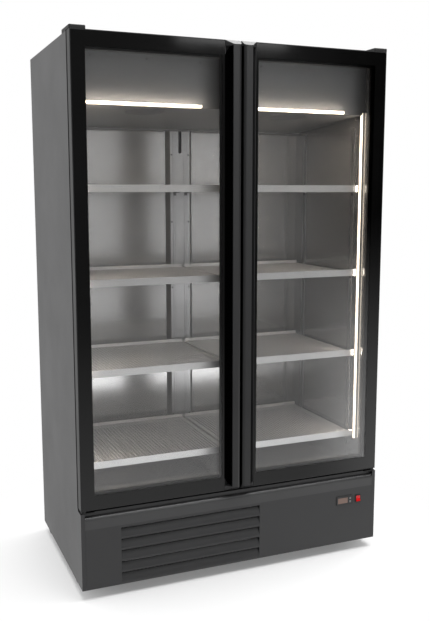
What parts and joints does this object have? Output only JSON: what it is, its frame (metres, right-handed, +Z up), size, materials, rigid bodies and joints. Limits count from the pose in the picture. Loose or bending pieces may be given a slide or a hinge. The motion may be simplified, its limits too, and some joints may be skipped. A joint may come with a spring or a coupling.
{
  "type": "glass door merchandiser",
  "caption": "Upright refrigerated display cabinet with two hinged glass doors, full-height pulls, lit shelves and a louvred machine bay.",
  "frame": {"origin": "on the floor, under the middle of the whole object", "axes": "+X to the right seen from the front, +Y to the back, +Z up"},
  "size_m": [1.22, 0.713, 1.987],
  "materials": {
    "cabinet_paint": "fine textured charcoal powder coat",
    "trim_paint": "satin grey powder coat",
    "foam": "rigid polyurethane foam",
    "liner_steel": "semi-gloss silver-grey sheet",
    "black_plastic": "matt black moulding",
    "mullion_plastic": "dark grey extrusion",
    "red_plastic": "glossy red",
    "compressor_enamel": "black enamel",
    "aluminium_fins": "plain fin stock",
    "motor_metal": "grey zinc-plated can",
    "copper": "drawn copper tube",
    "lamp_channel": "anodised",
    "lamp_diffuser": "opal, lit",
    "shelf_steel": "silver-grey powder coat",
    "clip_steel": "plated steel",
    "hinge_steel": "zinc-plated steel",
    "roller_nylon": "black nylon",
    "door_frame_black": "black anodised extrusion",
    "outer_glass": "clear toughened glass with black printed border",
    "inner_glass": "clear glass on a black spacer",
    "gasket_rubber": "black magnetic gasket",
    "handle_black": "black anodised pull"
  },
  "bodies": {
    "cabinet": {"back_panel": "cabinet_paint", "base_frame": "cabinet_paint", "bottom_hinges": "hinge_steel", "breaker_frame": "black_plastic", "cabinet_screws": "clip_steel", "cable_gland": "black_plastic", "centre_mullion": "mullion_plastic", "compressor": "compressor_enamel", "condenser_coil": "aluminium_fins", "controller": "black_plastic", "cover_trim": "trim_paint", "evaporation_tray": "black_plastic", "evaporator_coil": "aluminium_fins", "evaporator_cover": "liner_steel", "fan_motors": "motor_metal", "fan_shroud": "black_plastic", "foam_insulation": "foam", "front_cover": "cabinet_paint", "hinge_covers": "black_plastic", "inner_liner": "liner_steel", "led_channels": "lamp_channel", "led_diffusers": "lamp_diffuser", "left_side_panel": "cabinet_paint", "levelling_feet": "black_plastic", "refrigerant_pipes": "copper", "right_side_panel": "cabinet_paint", "rocker_bezel": "black_plastic", "roller_brackets": "hinge_steel", "shelf_clips": "clip_steel", "shelf_standards": "shelf_steel", "top_hinges": "hinge_steel", "top_panel": "cabinet_paint"},
    "condenser_fan": {"condenser_fan": "black_plastic"},
    "left_evaporator_fan": {"left_evaporator_fan": "black_plastic"},
    "right_evaporator_fan": {"right_evaporator_fan": "black_plastic"},
    "power_rocker": {"power_rocker": "red_plastic"},
    "up_key": {"up_key": "black_plastic"},
    "down_key": {"down_key": "black_plastic"},
    "front_left_roller": {"front_left_roller": "roller_nylon"},
    "front_right_roller": {"front_right_roller": "roller_nylon"},
    "rear_left_roller": {"rear_left_roller": "roller_nylon"},
    "rear_right_roller": {"rear_right_roller": "roller_nylon"},
    "left_shelf_1": {"left_shelf_1": "shelf_steel"},
    "left_shelf_2": {"left_shelf_2": "shelf_steel"},
    "left_shelf_3": {"left_shelf_3": "shelf_steel"},
    "left_shelf_4": {"left_shelf_4": "shelf_steel"},
    "right_shelf_1": {"right_shelf_1": "shelf_steel"},
    "right_shelf_2": {"right_shelf_2": "shelf_steel"},
    "right_shelf_3": {"right_shelf_3": "shelf_steel"},
    "right_shelf_4": {"right_shelf_4": "shelf_steel"},
    "left_door": {"left_door_frame": "door_frame_black", "left_outer_pane": "outer_glass", "left_inner_pane": "inner_glass", "left_gasket": "gasket_rubber", "left_handle": "handle_black"},
    "right_door": {"right_door_frame": "door_frame_black", "right_outer_pane": "outer_glass", "right_inner_pane": "inner_glass", "right_gasket": "gasket_rubber", "right_handle": "handle_black"}
  },
  "joints": [
    {"name": "left_door_hinge", "type": "hinge", "parent": "cabinet", "child": "left_door", "pos_m": [-0.5965, -0.3235, 0.33], "axis": [0, 0, -1], "range_deg": [0, 110], "stiffness_Nm_per_rad": 2, "springref_deg": -34.38},
    {"name": "right_door_hinge", "type": "hinge", "parent": "cabinet", "child": "right_door", "pos_m": [0.5965, -0.3235, 0.33], "axis": [0, 0, 1], "range_deg": [0, 110], "stiffness_Nm_per_rad": 2, "springref_deg": -34.38},
    {"name": "power_rocker_tilt", "type": "hinge", "parent": "cabinet", "child": "power_rocker", "pos_m": [0.5305, -0.332, 0.218], "axis": [1, 0, 0], "range_deg": [0, 16]},
    {"name": "up_key_press", "type": "slide", "parent": "cabinet", "child": "up_key", "axis": [0, 1, 0], "range_m": [0, 0.0008], "stiffness_N_per_m": 400, "springref_m": -0.0004},
    {"name": "down_key_press", "type": "slide", "parent": "cabinet", "child": "down_key", "axis": [0, 1, 0], "range_m": [0, 0.0008], "stiffness_N_per_m": 400, "springref_m": -0.0004},
    {"name": "condenser_fan_spin", "type": "hinge", "parent": "cabinet", "child": "condenser_fan", "pos_m": [-0.185, -0.189, 0.15025], "axis": [0, 1, 0], "continuous": true},
    {"name": "left_evaporator_fan_spin", "type": "hinge", "parent": "cabinet", "child": "left_evaporator_fan", "pos_m": [-0.29, -0.1285, 1.803], "axis": [0, 0, 1], "continuous": true},
    {"name": "right_evaporator_fan_spin", "type": "hinge", "parent": "cabinet", "child": "right_evaporator_fan", "pos_m": [0.29, -0.1285, 1.803], "axis": [0, 0, 1], "continuous": true},
    {"name": "front_left_roller_spin", "type": "hinge", "parent": "cabinet", "child": "front_left_roller", "pos_m": [-0.585, -0.1805, 0.037], "axis": [1, 0, 0], "continuous": true},
    {"name": "front_right_roller_spin", "type": "hinge", "parent": "cabinet", "child": "front_right_roller", "pos_m": [0.585, -0.1805, 0.037], "axis": [1, 0, 0], "continuous": true},
    {"name": "rear_left_roller_spin", "type": "hinge", "parent": "cabinet", "child": "rear_left_roller", "pos_m": [-0.585, 0.3065, 0.035], "axis": [1, 0, 0], "continuous": true},
    {"name": "rear_right_roller_spin", "type": "hinge", "parent": "cabinet", "child": "rear_right_roller", "pos_m": [0.585, 0.3065, 0.035], "axis": [1, 0, 0], "continuous": true},
    {"name": "left_shelf_1_lift", "type": "slide", "parent": "cabinet", "child": "left_shelf_1", "axis": [0, 0, 1], "range_m": [0, 0.02]},
    {"name": "right_shelf_1_lift", "type": "slide", "parent": "cabinet", "child": "right_shelf_1", "axis": [0, 0, 1], "range_m": [0, 0.02]},
    {"name": "left_shelf_2_lift", "type": "slide", "parent": "cabinet", "child": "left_shelf_2", "axis": [0, 0, 1], "range_m": [0, 0.02]},
    {"name": "right_shelf_2_lift", "type": "slide", "parent": "cabinet", "child": "right_shelf_2", "axis": [0, 0, 1], "range_m": [0, 0.02]},
    {"name": "left_shelf_3_lift", "type": "slide", "parent": "cabinet", "child": "left_shelf_3", "axis": [0, 0, 1], "range_m": [0, 0.02]},
    {"name": "right_shelf_3_lift", "type": "slide", "parent": "cabinet", "child": "right_shelf_3", "axis": [0, 0, 1], "range_m": [0, 0.02]},
    {"name": "left_shelf_4_lift", "type": "slide", "parent": "cabinet", "child": "left_shelf_4", "axis": [0, 0, 1], "range_m": [0, 0.02]},
    {"name": "right_shelf_4_lift", "type": "slide", "parent": "cabinet", "child": "right_shelf_4", "axis": [0, 0, 1], "range_m": [0, 0.02]}
  ]
}
